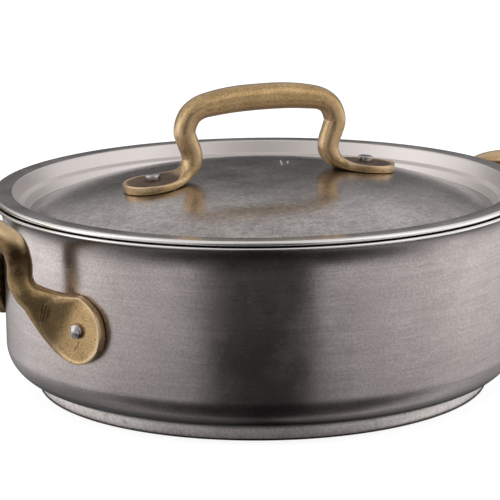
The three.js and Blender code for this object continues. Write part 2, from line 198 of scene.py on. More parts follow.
def bent(points, radius, steps=5):
    """The same line of points with each inner corner rounded to that radius, or what fits."""
    points = [np.array(p, float) for p in points]
    line = [points[0]]
    for before, corner, after in zip(points, points[1:], points[2:]):
        a, b = before - corner, after - corner
        la, lb = np.linalg.norm(a), np.linalg.norm(b)
        a, b = a / la, b / lb
        half = math.acos(max(-1, min(1, float(a @ b)))) / 2
        if half > NEARLY_STRAIGHT:
            line.append(corner)
            continue
        back = min(radius / math.tan(half), CORNER_SHARE * la, CORNER_SHARE * lb)
        p, q = corner + a * back, corner + b * back
        for t in np.linspace(0, 1, steps + 1):
            line.append((1 - t) ** 2 * p + 2 * t * (1 - t) * corner + t**2 * q)
    line.append(points[-1])
    return [tuple(p) for p in line]


def spread(points, longest):
    """Adds points on straight stretches that are longer than that."""
    fine = [points[0]]
    for p, q in zip(points, points[1:]):
        parts = max(1, math.ceil(math.dist(p, q) / longest))
        for i in range(1, parts + 1):
            fine.append(tuple(np.array(p) + (np.array(q) - np.array(p)) * i / parts))
    return fine


def lathe(profile, segments):
    """Turns a closed profile that starts and ends on the axis. Gives vertices and faces."""
    vertices, rings = [], []
    for r, z in profile:
        if r < 1e-6:
            rings.append([len(vertices)])
            vertices.append((0, 0, z))
            continue
        rings.append(list(range(len(vertices), len(vertices) + segments)))
        for i in range(segments):
            a = 2 * math.pi * i / segments
            vertices.append((r * math.cos(a), r * math.sin(a), z))
    faces = []
    for low, high in zip(rings, rings[1:]):
        for i in range(segments):
            j = (i + 1) % segments
            if len(low) == 1 and len(high) == 1:
                continue
            if len(low) == 1:
                faces.append((low[0], high[j], high[i]))
            elif len(high) == 1:
                faces.append((low[i], low[j], high[0]))
            else:
                faces.append((low[i], low[j], high[j], high[i]))
    return vertices, outward(vertices, faces)


def outward(vertices, faces):
    """The same faces, turned over if they face into the solid."""
    v = np.asarray(vertices, float)
    volume = 0.0
    for f in faces:
        for i in range(1, len(f) - 1):
            volume += float(v[f[0]] @ np.cross(v[f[i]], v[f[i + 1]]))
    return faces if volume > 0 else [tuple(reversed(f)) for f in faces]


def smoothed(keys, steps):
    """Finer rows of numbers along a smooth curve through the given rows."""
    keys = np.asarray(keys, float)
    fine = []
    last = len(keys) - 1
    for k in range(last):
        p0, p1, p2, p3 = keys[max(k - 1, 0)], keys[k], keys[k + 1], keys[min(k + 2, last)]
        m1, m2 = (p2 - p0) / 2, (p3 - p1) / 2
        for t in np.arange(steps) / steps:
            fine.append(
                (2 * t**3 - 3 * t**2 + 1) * p1
                + (t**3 - 2 * t**2 + t) * m1
                + (3 * t**2 - 2 * t**3) * p2
                + (t**3 - t**2) * m2
            )
    fine.append(keys[last])
    return fine


def unit(v):
    return v / np.linalg.norm(v)


# A row of a handle says where one section is: middle (3 numbers), direction across (3), half
# width, half depth and how square it is.

def foot_row(middle, toward, across, radius, half_depth, share, fuller):
    """A section of a round foot. The share of the radius is 1 at its tip and below 0 towards
    the neck."""
    half = radius * math.sqrt(max(1 - share * share, 0)) + fuller / 2
    place = middle - share * radius * toward + across * fuller / 2
    return [*place, *across, half, half_depth, FOOT_POWER]


TIP_ANGLES = np.linspace(4, 84, 15)  # sections round the outer half of a foot, in degrees
NECK_STEPS = 5  # sections for each row of a path
NECK_SKIPPED = 6  # the first of these lie where the tip's sections already are
EVENED = (-3, 14)  # the sections either side of the foot's middle that are evened out
EVEN_ROUNDS = 10


def handle(middle, toward, across, radius, rows, mirror, fullness=((0, 0), (1, 0))):
    """Skins one whole handle: round foot, neck, leg, bar, and the other half mirrored along
    axis number mirror."""
    half_depth = FOOT_THICKNESS / 2 + FOOT_GAP
    out = np.cross(toward, across)
    foot_middle = middle - FOOT_GAP * out

    def foot(share):
        fuller = float(np.interp(share, *zip(*fullness)))
        return foot_row(foot_middle, toward, across, radius, half_depth, share, fuller)

    tip = [foot(math.cos(math.radians(a))) for a in TIP_ANGLES]
    keys = [foot(0.5), foot(0.1), foot(-0.4), *rows]
    half = np.asarray([*tip, *smoothed(keys, NECK_STEPS)[NECK_SKIPPED:]], float)
    first, last = (len(tip) + i for i in EVENED)
    for _ in range(EVEN_ROUNDS):
        mean = (half[first - 1:last - 1] + half[first + 1:last + 1]) / 2
        half[first:last] = (half[first:last] + mean) / 2
    flip = np.ones(9)
    flip[mirror], flip[3 + mirror] = -1, -1
    return skin(np.vstack((half, half[-2::-1] * flip)))


def skin(stations):
    """Joins the sections of a handle. Gives vertices, faces and which way each vertex faces."""
    vertices, faces, facing = [], [], []
    last = len(stations) - 1
    for k, row in enumerate(stations):
        middle, across, hw, hd, power = row[:3], row[3:6], row[6], row[7], row[8]
        along = unit(stations[min(k + 1, last)][:3] - stations[max(k - 1, 0)][:3])
        across = unit(across - along * (along @ across))
        through = np.cross(along, across)
        for i in range(HANDLE_SIDES):
            a = 2 * math.pi * i / HANDLE_SIDES
            c, s = math.cos(a), math.sin(a)
            w = hw * math.copysign(abs(c) ** (2 / power), c)
            d = hd * math.copysign(abs(s) ** (2 / power), s)
            vertices.append(middle + across * w + through * d)
            facing.append(across * w / hw + through * d / hd)

    def pair(k, i):
        return k * HANDLE_SIDES + i, k * HANDLE_SIDES + (i + 1) % HANDLE_SIDES

    for k in range(last):
        for i in range(HANDLE_SIDES):
            a, b = pair(k, i)
            faces.append((a, b, b + HANDLE_SIDES, a + HANDLE_SIDES))
    for k in (0, last):
        centre = len(vertices)
        vertices.append(stations[k][:3])
        facing.append(np.zeros(3))
        for i in range(HANDLE_SIDES):
            a, b = pair(k, i)
            faces.append((centre, b, a) if k == 0 else (centre, a, b))
    return np.asarray(vertices), outward(vertices, faces), np.asarray(facing)


def step(x, low, high):
    """Rises smoothly from 0 at low to 1 at high, or falls where low is the larger."""
    t = np.clip((x - low) / (high - low), 0, 1)
    return t * t * (3 - 2 * t)


def sink_faces(vertices, feet, radius, depth):
    """Sinks the face of each foot inside a narrow rim, and marks the rim and the sunk face.
    Heights are in millimetres, and the other places are shares of the foot's radius."""
    edge = np.zeros(len(vertices))
    recess = np.zeros(len(vertices))
    for centre, normal, toward in feet:
        v = vertices - centre
        height = v @ normal
        flat = v - height[:, None] * normal
        rho = np.linalg.norm(flat, axis=1) / radius
        inward = (flat @ toward) / radius
        face = step(height, 0.6, 1.4) * step(inward, 1.05, 0.62) * step(height, 4.5, 2.6)
        sunk = face * step(rho, 0.955, 0.9)
        vertices -= (sunk * depth)[:, None] * normal
        recess = np.maximum(recess, sunk)
        rim = face * step(rho, 0.86, 0.95) + step(rho, 0.97, 1.0) * step(height, -1.5, 0.5)
        edge = np.maximum(edge, np.where((rho < 1.03) & (inward < 1), np.minimum(rim, 1), 0))
    return {"edge": edge, "recess": recess}


def dome_height(r):
    """The height of the lid's dome at a distance from the axis."""
    share = np.minimum(np.asarray(r, float) / DOME_EDGE[0], 1)
    return DOME_EDGE[1] + DOME_RISE * (1 - share**3)


# Where the side handles get painted shade and a painted highlight, and how far the painted shade
# dims their worn rims. Each range is in millimetres, from none to full.
PAINTED_SHADE_STARTS, PAINTED_SHADE_ENDS, PAINTED_SHADE_CLEAR_OF_MIDDLE = (62, 74), (101, 94), (12, 26)
PAINTED_SHADE_OTHER_LEG = 0.3
RIM_PAINTED_SHADE, RIM_PAINTED_SHADE_WIDTH = 0.6, (4, 1)  # the width is beyond the foot's radius
RIM_SHADE_OVER_WEAR = 0.8
TOP_HIGHLIGHT, TOP_HIGHLIGHT_FROM = 0.7, (76, 84)
# Where the legs of the lid's handle are made lighter
LEG_LIGHTER, LEG_LIGHTER_STARTS, LEG_LIGHTER_ENDS = 0.5, (101, 107), (134, 124)


def side_handle(name, side, material):
    """A side handle, made at the right and turned by half a turn for the left, where side is -1."""
    reach = POT_RADIUS + FOOT_THICKNESS / 2
    angle = math.asin(RIVET_SPACING / 2 / reach)
    out = np.array((math.cos(angle), math.sin(angle), 0))
    inward = np.array((math.sin(angle), -math.cos(angle), 0))
    toward = inward * math.cos(SIDE_FOOT_TILT) + np.array((0, 0, math.sin(SIDE_FOOT_TILT)))
    across = np.cross(out, toward)
    middle = out * reach + np.array((0, 0, SIDE_RIVET_HEIGHT))
    bar_across = np.array((math.sin(SIDE_LEAN), 0, -math.cos(SIDE_LEAN)))
    rows = []
    for i, (along, away, rise, width, depth) in enumerate(SIDE_PATH):
        t = min(2 * i / len(SIDE_PATH), 1)
        power = NECK_POWER if i == 0 else BAR_POWER
        fuller = FULLNESS_PATH[i] if i < len(FULLNESS_PATH) else 0
        place = np.array((
            middle[0] + away * (POT_RADIUS + SIDE_REACH - middle[0]),
            along * RIVET_SPACING / 2,
            middle[2] + rise * SIDE_RISE,
        ))
        rows.append([
            *(place + across * fuller / 2), *(across * (1 - t) + bar_across * t),
            width * BAR_WIDTH + fuller / 2, depth * BAR_DEPTH, power,
        ])
    vertices, faces, facing = handle(
        middle, toward, across, SIDE_FOOT_RADIUS, rows, 1, FULLNESS
    )
    flip = np.array((1, -1, 1))
    feet = (middle, out, toward), (middle * flip, out * flip, toward * flip)
    marks = sink_faces(vertices, feet, SIDE_FOOT_RADIUS, SIDE_SINK)
    # The legs get painted brown shade beside and under the lip, one of them far more: not on top,
    # and least on the side that faces the wall.
    z, y = vertices[:, 2], np.abs(vertices[:, 1])
    painted_shade = np.where(vertices[:, 1] > 0, 1.0, PAINTED_SHADE_OTHER_LEG)
    painted_shade = painted_shade * step(z, *PAINTED_SHADE_STARTS) * step(z, *PAINTED_SHADE_ENDS) * step(y, *PAINTED_SHADE_CLEAR_OF_MIDDLE)
    painted_shade *= step(facing[:, 2], 0.75, 0.4) * (0.3 + 0.7 * step(facing[:, 0], -0.9, -0.4))
    # The thin sides of the feet get painted shade too, where they don't face up.
    shaded_rims = np.zeros(len(vertices))
    for place, normal, _ in feet:
        distance = np.linalg.norm(vertices - place, axis=1)
        near = step(distance, *(SIDE_FOOT_RADIUS + width for width in RIM_PAINTED_SHADE_WIDTH))
        shaded_rims += near * step(np.abs(facing @ normal), 0.75, 0.4) * step(facing[:, 2], 0.5, 0.1)
    marks["painted_shade"] = np.maximum(painted_shade, RIM_PAINTED_SHADE * shaded_rims)
    # The worn rims are dimmed where they get painted shade, the top of the grip gets a painted
    # highlight, and the faces of these feet have no patina.
    top = TOP_HIGHLIGHT * step(facing[:, 2], 0.3, 0.8) * step(z, *TOP_HIGHLIGHT_FROM)
    marks["edge"] = np.maximum(marks["edge"] * (1 - RIM_SHADE_OVER_WEAR * shaded_rims), top)
    marks["recess"] = np.zeros(len(vertices))
    # The backs of the feet follow the wall.
    r = np.hypot(vertices[:, 0], vertices[:, 1])
    seat = POT_RADIUS + FOOT_GAP
    low = r < seat
    vertices[low, :2] *= (seat / r[low])[:, None]
    if side < 0:
        vertices[:, :2] *= -1
    build(name + "_cast", vertices, faces, material, "pot", [name], SHARP_CAST, marks)


def lid_slope():
    """How far the dome leans where the feet of the lid's handle sit."""
    half, reach = RIVET_SPACING / 2, SHEET / 4
    return math.atan2(dome_height(half - reach) - dome_height(half + reach), 2 * reach)


def lid_handle(name, material):
    """The handle on the lid, whose feet lean with the dome."""
    slope, half = lid_slope(), RIVET_SPACING / 2
    out = np.array((math.sin(slope), 0, math.cos(slope)))
    toward = np.array((-math.cos(slope), 0, math.sin(slope)))
    across = np.cross(out, toward)
    middle = np.array((half, 0, float(dome_height(half)))) + out * FOOT_THICKNESS / 2
    rows = []
    for i, (along, rise, width, depth) in enumerate(LID_PATH):
        rows.append([
            along * half, 0, middle[2] + rise * LID_HANDLE_RISE, *across,
            width * BAR_WIDTH, depth * BAR_DEPTH, NECK_POWER if i == 0 else BAR_POWER,
        ])
    vertices, faces, _ = handle(middle, toward, across, LID_FOOT_RADIUS, rows, 0)
    flip = np.array((-1, 1, 1))
    feet = (middle, out, toward), (middle * flip, out * flip, toward * flip)
    marks = sink_faces(vertices, feet, LID_FOOT_RADIUS, LID_SINK)
    marks["painted_shade"] = np.zeros(len(vertices))
    z = vertices[:, 2]
    legs = LEG_LIGHTER * step(z, *LEG_LIGHTER_STARTS) * step(z, *LEG_LIGHTER_ENDS)
    marks["edge"] = np.maximum(marks["edge"], legs)
    # The undersides of the feet follow the dome.
    r = np.hypot(vertices[:, 0], vertices[:, 1])
    vertices[:, 2] = np.maximum(vertices[:, 2], dome_height(r) + FOOT_GAP)
    build(name + "_cast", vertices, faces, material, "lid", [name], SHARP_CAST, marks)


HEAD_ROUND = 0.9  # how the edges of a rivet are rounded
HEAD_FOOT_ROUND = 0.15
TAIL_ROUND = 0.4
TAIL_END_ROUND = 0.3


def rivet(name, place, out, body, material, sink, crown):
    """A rivet whose head stands on a foot's sunk face and whose shank goes down against out."""
    grip = FOOT_THICKNESS + SHEET + TAIL_GAP
    profile = [
        (0, RIVET_HEIGHT), (0.25 * RIVET_RADIUS, RIVET_HEIGHT - 0.06 * crown - 0.02),
        (0.5 * RIVET_RADIUS, RIVET_HEIGHT - 0.25 * crown - 0.05),
        *arc(RIVET_RADIUS - HEAD_ROUND, RIVET_HEIGHT - 0.5 * crown - 1.0, HEAD_ROUND, 80, 0, 6),
        (RIVET_RADIUS, HEAD_FOOT_ROUND - sink), (RIVET_RADIUS - HEAD_FOOT_ROUND, -sink),
        (SHANK_RADIUS, -sink), (SHANK_RADIUS, -grip),
        (TAIL_RADIUS - TAIL_ROUND / 2, -grip),
        *arc(TAIL_RADIUS - TAIL_ROUND, -grip - TAIL_ROUND, TAIL_ROUND, 60, -60, 4),
        *arc(TAIL_RADIUS / 2, -grip - TAIL_HEIGHT + TAIL_END_ROUND, TAIL_END_ROUND, -60, -90, 2),
        (0, -grip - TAIL_HEIGHT),
    ]
    vertices, faces = lathe(profile, RIVET_SIDES)
    turn = Vector(out).to_track_quat("Z", "Y").to_matrix()
    placed = [np.array(turn @ Vector(v)) + np.asarray(place) for v in vertices]
    build(name + "_steel", placed, faces, material, body, [name], SHARP_RIVET)


# Materials

class Nodes:
    """A small helper to write a node tree in few lines."""

    def __init__(self, tree):
        self.tree = tree
        tree.nodes.clear()

    def node(self, kind, inputs=None, **settings):
        made = self.tree.nodes.new(kind)
        for key, value in settings.items():
            setattr(made, key, value)
        for key, value in (inputs or {}).items():
            self.put(made.inputs[key], value)
        return made

    def put(self, socket, value):
        if isinstance(value, bpy.types.NodeSocket):
            self.tree.links.new(value, socket)
        else:
            socket.default_value = value

    def math(self, operation, a, b=0.0, clamp=False):
        made = self.node("ShaderNodeMath", operation=operation, use_clamp=clamp)
        self.put(made.inputs[0], a)
        self.put(made.inputs[1], b)
        return made.outputs[0]

    def plus(self, a, b):
        return self.math("ADD", a, b)

    def times(self, a, b):
        return self.math("MULTIPLY", a, b)

    def vector(self, operation, inputs, output=0):
        return self.node("ShaderNodeVectorMath", inputs, operation=operation).outputs[output]

    def split(self, vector):
        return self.node("ShaderNodeSeparateXYZ", {"Vector": vector}).outputs

    def ramp(self, value, *stops):
        """Maps a value through stops of (place, level), smoothly. Narrow steps stay sharp."""
        if len(stops) == 2 and np.isscalar(stops[0][1]):
            (low, start), (high, end) = stops
            made = self.node(
                "ShaderNodeMapRange",
                {"Value": value, "From Min": low, "From Max": high, "To Min": start,
                 "To Max": end},
                interpolation_type="SMOOTHSTEP",
            )
            return made.outputs["Result"]
        made = self.node("ShaderNodeValToRGB", {"Fac": value})
        ramp = made.color_ramp
        ramp.interpolation = "EASE"
        while len(ramp.elements) < len(stops):
            ramp.elements.new(0.5)
        for element, (place, level) in zip(ramp.elements, stops):
            element.position = place
            element.color = (level, level, level, 1) if np.isscalar(level) else (*level, 1)
        return made.outputs["Color"]

    def mix(self, factor, a, b, blend="MIX"):
        made = self.node("ShaderNodeMix", data_type="RGBA", blend_type=blend)
        self.put(made.inputs["Factor"], factor)
        for socket, value in zip((made.inputs[6], made.inputs[7]), (a, b)):
            self.put(socket, value if isinstance(value, bpy.types.NodeSocket) else (*value, 1))
        return made.outputs[2]

    def layered(self, tone, *layers):
        """Multiplies patterns into a tone. Each has a share, a pattern and two stops for it."""
        for share, pattern, low, high in layers:
            tone = self.mix(share, tone, self.ramp(pattern, low, high), "MULTIPLY")
        return tone

    def noise(self, vector, scale, detail, roughness):
        made = self.node(
            "ShaderNodeTexNoise",
            {"Vector": vector, "Scale": scale, "Detail": detail, "Roughness": roughness},
        )
        return made.outputs["Fac"]

    def nick(self, position, start, end, strength):
        """A mask along a short straight line. Places and widths are in millimetres."""
        along = Vector(end) - Vector(start)
        away = self.vector("SUBTRACT", {0: position, 1: Vector(start) * MM})
        per_length = along / along.length_squared / MM
        share = self.vector("DOT_PRODUCT", {0: away, 1: per_length}, "Value")
        share = self.math("MULTIPLY", share, 1.0, clamp=True)
        near = self.vector("SCALE", {0: along * MM, "Scale": share})
        gap = self.vector("DISTANCE", {0: away, 1: near}, "Value")
        return self.ramp(gap, (0.2 * MM, strength), (0.5 * MM, 0))

    def scaled(self, vector, x, y, z):
        return self.vector("MULTIPLY", {0: vector, 1: (x, y, z)})


# Colours that the materials mix in. The black, the base's edge colour and the first brown are laid
# on as painted shade, and the polished steel and the worn brass also give painted highlights.
BLACK, POLISH_AND_HIGHLIGHT = (0.02, 0.018, 0.017), (0.90, 0.875, 0.86)
SPECK, DUST, SCRATCH = (0.12, 0.105, 0.1), (0.9, 0.86, 0.84), (0.95, 0.91, 0.89)
BASE_PIT, BASE_PAINTED_SHADE = (0.25, 0.23, 0.21), (0.05, 0.045, 0.04)
SHADE_BROWN, PATINA_BROWN = (0.045, 0.022, 0.008), (0.06, 0.03, 0.02)
WEAR_AND_HIGHLIGHT_BRASS, NICK_BROWN, PIT_BROWN = (0.72, 0.53, 0.33), (0.10, 0.045, 0.018), (0.12, 0.07, 0.03)

# Brush lines: how fast they change across the surface and round the axis
LINE_SCALE, LINE_STRETCH = 1500.0, 3.0
LINE_RISE = 1.37  # a step in height counts this much more than one in radius
SMEARS = (1.7, 1.7, 0.17)  # broader streaks, as shares of the lines' scale
SPECK_SHARE, SCRATCH_STRENGTH = 0.4, 0.7
DUST_ROUGHNESS = SCRATCH_ROUGHNESS = 0.6


def grey(level):
    return level, level, level


def surface(name):
    """A new material, its nodes, and the place of a point on the piece, in metres."""
    material = bpy.data.materials.new(name)
    material.use_nodes = True
    n = Nodes(material.node_tree)
    return material, n, n.node("ShaderNodeTexCoord").outputs["Object"]


def finish_surface(n, base, rough, height, strength, distance, metallic=1.0, extra=None):
    """Ends a material: its colour, roughness and bump height go into one shader."""
    bump = n.node(
        "ShaderNodeBump", {"Height": height, "Strength": strength, "Distance": distance}
    )
    shader = n.node(
        "ShaderNodeBsdfPrincipled",
        {"Base Color": base, "Roughness": rough, "Metallic": metallic,
         "Normal": bump.outputs[0], **(extra or {})},
    )
    n.node("ShaderNodeOutputMaterial", {"Surface": shader.outputs[0]})


def axis_distance(n, x, y):
    return n.math("SQRT", n.plus(n.times(x, x), n.times(y, y)))


def round_coordinates(n, position):
    """The direction from the axis to a point, its distance from the axis, and its height."""
    x, y, z = n.split(position)
    r = axis_distance(n, x, y)
    safe = n.math("MAXIMUM", r, 0.5 * MM)
    join = n.node(
        "ShaderNodeCombineXYZ",
        {"X": n.math("DIVIDE", x, safe), "Y": n.math("DIVIDE", y, safe), "Z": 0.0},
    )
    return join.outputs[0], r, z


def brushed(name, tint, rough, streak, mottle, anisotropic, dark, masks, dents=0.0,
            scratches=()):
    """Steel with brush lines and smears round the axis, mottling, fine grain, specks and dust.
    The masks give parts of it another tone, polish, painted shade and painted highlights: each has
    a colour to mix in, a roughness to mix in (or None), and ramps over r and z in metres, or over
    down, from 0 where the surface faces down to 1 where it faces up. The ramps are multiplied to
    the mix factor."""
    material, n, position = surface(name)
    around, r, z = round_coordinates(n, position)
    across = n.plus(r, n.times(z, LINE_RISE))
    lines_at = n.vector("ADD", {
        0: n.scaled(around, LINE_STRETCH, LINE_STRETCH, 0.0),
        1: n.node("ShaderNodeCombineXYZ", {"Z": n.times(across, LINE_SCALE)}).outputs[0],
    })
    facing = n.split(n.node("ShaderNodeNewGeometry").outputs["Normal"])["Z"]
    values = {"r": r, "z": z, "down": n.plus(0.5, n.times(facing, 0.5))}
    lines = n.noise(lines_at, 1.0, 4, 0.65)
    smears = n.noise(n.scaled(lines_at, *SMEARS), 1.0, 3, 0.6)
    broad = n.noise(position, 14.0, 4, 0.6)
    cloud = n.noise(position, 60.0, 5, 0.65)
    fleck = n.noise(position, 420.0, 4, 0.7)
    grain = n.noise(position, 1000.0, 2, 0.6)
    speck = n.ramp(n.noise(position, 420.0, 2, 0.5), (0.66, 0), (0.74, 1))
    dust = n.ramp(n.noise(position, 950.0, 1, 0.5), (0.74, 0), (0.80, 0.28))
    flecked = n.ramp(r, (0.100, mottle), (0.110, mottle * 0.3))  # less beyond the lid's dome
    tone = n.layered(
        n.ramp(broad, (0.3, dark), (0.7, 1.0)),
        (mottle, cloud, (0.3, 0.55), (0.7, 1.15)),
        (flecked, fleck, (0.35, 0.55), (0.65, 1.25)),
        (streak, lines, (0.25, 0.55), (0.75, 1.25)),
        (streak, smears, (0.3, 0.8), (0.7, 1.2)),
        (0.4, grain, (0.3, 0.6), (0.7, 1.2)),
    )
    base = n.mix(1.0, tone, tint, "MULTIPLY")
    base = n.mix(n.times(speck, n.times(flecked, SPECK_SHARE)), base, SPECK)
    base = n.mix(dust, base, DUST)
    worn = n.ramp(n.noise(position, 35.0, 3, 0.6), (0.3, rough - 0.04), (0.7, rough + 0.05))
    worn = n.mix(dust, worn, grey(DUST_ROUGHNESS))
    for colour, level, stops in masks:
        factor = 1.0
        for key, *places in stops:
            factor = n.times(factor, n.ramp(values[key], *places))
        base = n.mix(factor, base, colour)
        if level is not None:
            worn = n.mix(factor, worn, grey(level))
    for start, end in scratches:
        mark = n.nick(position, start, end, SCRATCH_STRENGTH)
        base = n.mix(mark, base, SCRATCH)
        worn = n.mix(mark, worn, grey(SCRATCH_ROUGHNESS))
    height = n.plus(n.times(lines, 0.6), n.times(grain, 0.5))
    if dents:
        height = n.plus(height, n.times(fleck, dents))
    tangent = n.node("ShaderNodeTangent", direction_type="RADIAL", axis="Z").outputs[0]
    finish_surface(
        n, base, worn, height, 0.12, 0.2 * MM,
        extra={"Anisotropic": anisotropic, "Anisotropic Rotation": 0.25, "Tangent": tangent},
    )
    return material


def cast_alloy():
    """The base's pale matte metal, with a fine grain, small pits and painted shade along its upper
    edge, under the body's corner.
    """
    material, n, position = surface("base_alloy")
    z = n.split(position)["Z"]
    grain = n.noise(position, 700.0, 3, 0.7)
    cloud = n.noise(position, 45.0, 4, 0.6)
    pits = n.ramp(n.noise(position, 260.0, 2, 0.6), (0.63, 0), (0.7, 1))
    tone = n.ramp(cloud, (0.3, (0.76, 0.705, 0.68)), (0.7, (0.88, 0.82, 0.795)))
    tone = n.layered(tone, (0.5, grain, (0.3, 0.6), (0.7, 1.15)))
    base = n.mix(n.times(pits, 0.4), tone, BASE_PIT)
    # painted shade along the upper edge, under the body's corner
    base = n.mix(n.ramp(z, (0.0045, 0.0), (0.0068, 0.85)), base, BASE_PAINTED_SHADE)
    rough = n.ramp(cloud, (0.3, 0.42), (0.7, 0.52))
    finish_surface(n, base, rough, grain, 0.25, 0.2 * MM, 0.8)
    return material


def cast_brass():
    """Cast brass: fine sandy grain and pits, brown patina on sunk faces, painted brown shade on the
    side handles, nicks, bright worn edges, and a painted highlight on top of the side grips. The
    marks on the mesh say where."""
    material, n, position = surface("brass")
    edge, recess, painted_shade = (
        n.node("ShaderNodeAttribute", attribute_name=key).outputs["Fac"]
        for key in ("edge", "recess", "painted_shade")
    )
    grain = n.noise(position, 1600.0, 3, 0.7)
    pits = n.noise(position, 600.0, 3, 0.6)
    cloud = n.noise(position, 90.0, 4, 0.6)
    tone = n.ramp(cloud, (0.3, (0.41, 0.27, 0.125)), (0.7, (0.53, 0.36, 0.178)))
    tone = n.layered(tone, (0.8, grain, (0.3, 0.55), (0.7, 1.4)))
    # painted brown shade on the legs and the foot rims of the side handles
    shade_share = n.times(painted_shade, n.ramp(cloud, (0.35, 0.6), (0.65, 1.0)))
    tone = n.mix(shade_share, tone, SHADE_BROWN)
    brown = n.times(recess, n.ramp(cloud, (0.35, 0.8), (0.6, 1.0)))
    tone = n.mix(brown, tone, PATINA_BROWN)
    # worn rims, lighter legs on the lid's handle, and a painted highlight on top of the side grips
    tone = n.mix(n.times(edge, 0.75), tone, WEAR_AND_HIGHLIGHT_BRASS)
    for start, end, darkness in NICKS:
        tone = n.mix(n.nick(position, start, end, darkness), tone, NICK_BROWN)
    pit = n.ramp(pits, (0.28, 1), (0.38, 0))
    tone = n.mix(n.times(pit, 0.5), tone, PIT_BROWN)
    rough = n.ramp(cloud, (0.3, 0.21), (0.7, 0.28))
    dull = n.math("MAXIMUM", recess, n.times(painted_shade, 0.5))
    rough = n.mix(dull, rough, grey(0.55))
    height = n.plus(n.times(grain, 0.5), n.times(pits, 0.9))
    metal = n.math("SUBTRACT", 0.83, n.times(recess, 0.35))
    finish_surface(n, tone, rough, height, 0.35, 0.3 * MM, metal)
    return material


def rivet_steel():
    """Worn steel with uneven tones, as on a hammered rivet."""
    material, n, position = surface("rivet_steel")
    cloud = n.noise(position, 300.0, 4, 0.6)
    grain = n.noise(position, 1500.0, 2, 0.6)
    base = n.ramp(cloud, (0.3, (0.34, 0.318, 0.312)), (0.7, (0.56, 0.527, 0.518)))
    rough = n.ramp(grain, (0.3, 0.14), (0.7, 0.22))
    height = n.plus(cloud, n.times(grain, 0.2))
    finish_surface(n, base, rough, height, 0.3, 0.2 * MM)
    return material


# Pieces

# The flare under the lip: its reach in millimetres, and the powers that shape its curve
FLARE_REACH, FLARE_BEND, FLARE_ROUND = 4.2, 2.6, 0.625
FLARE_HEIGHTS = 1 - np.linspace(1, 0, 18) ** 2
LONGEST = 12  # no stretch of the body's profile is longer
# How far edges are rounded or cut
LID_ROUND_ABOVE, LID_ROUND_BELOW, BEAD_FOOT = 0.9, 0.5, 0.4
CORE_ROUND, PLATE_ROUND, CUT = 0.5, 0.4, 0.1


def pot_profile():
    """The body's shell: up the outside, round the lip and down the inside."""
    corner = (POT_RADIUS - CORNER_RADIUS, BASE_THICKNESS + CORNER_RADIUS)
    edge = LIP_THICKNESS / 2

    def flare(radius, top):
        line = []
        for h in FLARE_HEIGHTS:
            away = FLARE_REACH * (1 - (1 - h**FLARE_BEND) ** FLARE_ROUND)
            line.append((radius + away, FLARE_START + (top - FLARE_START) * h))
        return line

    profile = [
        (0, BASE_THICKNESS),
        *arc(*corner, CORNER_RADIUS, -90, 0, 20),
        *flare(POT_RADIUS, RIM_HEIGHT - LIP_THICKNESS),
        *arc(LIP_RADIUS - edge, RIM_HEIGHT - edge, edge, -80, 80, 6),
        *reversed(flare(POT_RADIUS - SHEET, RIM_HEIGHT)),
        *arc(*corner, CORNER_RADIUS - SHEET, 0, -90, 20),
        (0, BASE_THICKNESS + SHEET),
    ]
    return spread(profile, LONGEST)


def lid_profile():
    """The lid's sheet: dome, ledge, wall, flange and bead from above, then the same below."""
    bead_middle = LID_RADIUS - BEAD_RADIUS
    bead_inner = LID_RADIUS - BEAD_WIDTH
    radii = DOME_EDGE[0] * np.sqrt(np.linspace(0, 1, 25))
    top = [
        *[(float(r), float(dome_height(r))) for r in radii],
        LEDGE_INNER, WALL_FOOT,
        (FLANGE_INNER, FLANGE_HEIGHT),
        (bead_middle, FLANGE_HEIGHT),
    ]
    bead = arc(bead_middle, FLANGE_HEIGHT - BEAD_RADIUS, BEAD_RADIUS, 80, -60, 10)
    under = [
        (bead_middle, RIM_HEIGHT), (bead_inner + BEAD_FOOT, RIM_HEIGHT),
        (bead_inner, RIM_HEIGHT + BEAD_FOOT), (bead_inner, FLANGE_HEIGHT - SHEET),
        (FLANGE_INNER + SHEET / 2, FLANGE_HEIGHT - SHEET),
        (WALL_FOOT[0] + SHEET, WALL_FOOT[1] - SHEET),
        (LEDGE_INNER[0] + SHEET, LEDGE_INNER[1] - SHEET),
        (DOME_EDGE[0] + SHEET / 2, DOME_EDGE[1] - SHEET),
        *[(float(r), float(dome_height(r)) - SHEET) for r in radii[:-1][::-1]],
    ]
    return bent(top, LID_ROUND_ABOVE) + bead + bent(under, LID_ROUND_BELOW, 3)


def core_profile():
    """The thick disc under the body."""
    return [
        (0, BASE_PLATE_THICKNESS), (BASE_CORE_RADIUS - CUT, BASE_PLATE_THICKNESS),
        (BASE_CORE_RADIUS, BASE_PLATE_THICKNESS + CUT),
        *arc(BASE_CORE_RADIUS - CORE_ROUND, BASE_THICKNESS - CORE_ROUND, CORE_ROUND, 0, 90, 4),
        (0, BASE_THICKNESS),
    ]


def plate_profile():
    """The thin plate under the disc."""
    return [
        (0, 0), (BASE_PLATE_RADIUS - PLATE_ROUND, 0),
        *arc(BASE_PLATE_RADIUS - PLATE_ROUND, PLATE_ROUND, PLATE_ROUND, -70, 0, 4),
        (BASE_PLATE_RADIUS, BASE_PLATE_THICKNESS - CUT),
        (BASE_PLATE_RADIUS - CUT, BASE_PLATE_THICKNESS), (0, BASE_PLATE_THICKNESS),
    ]


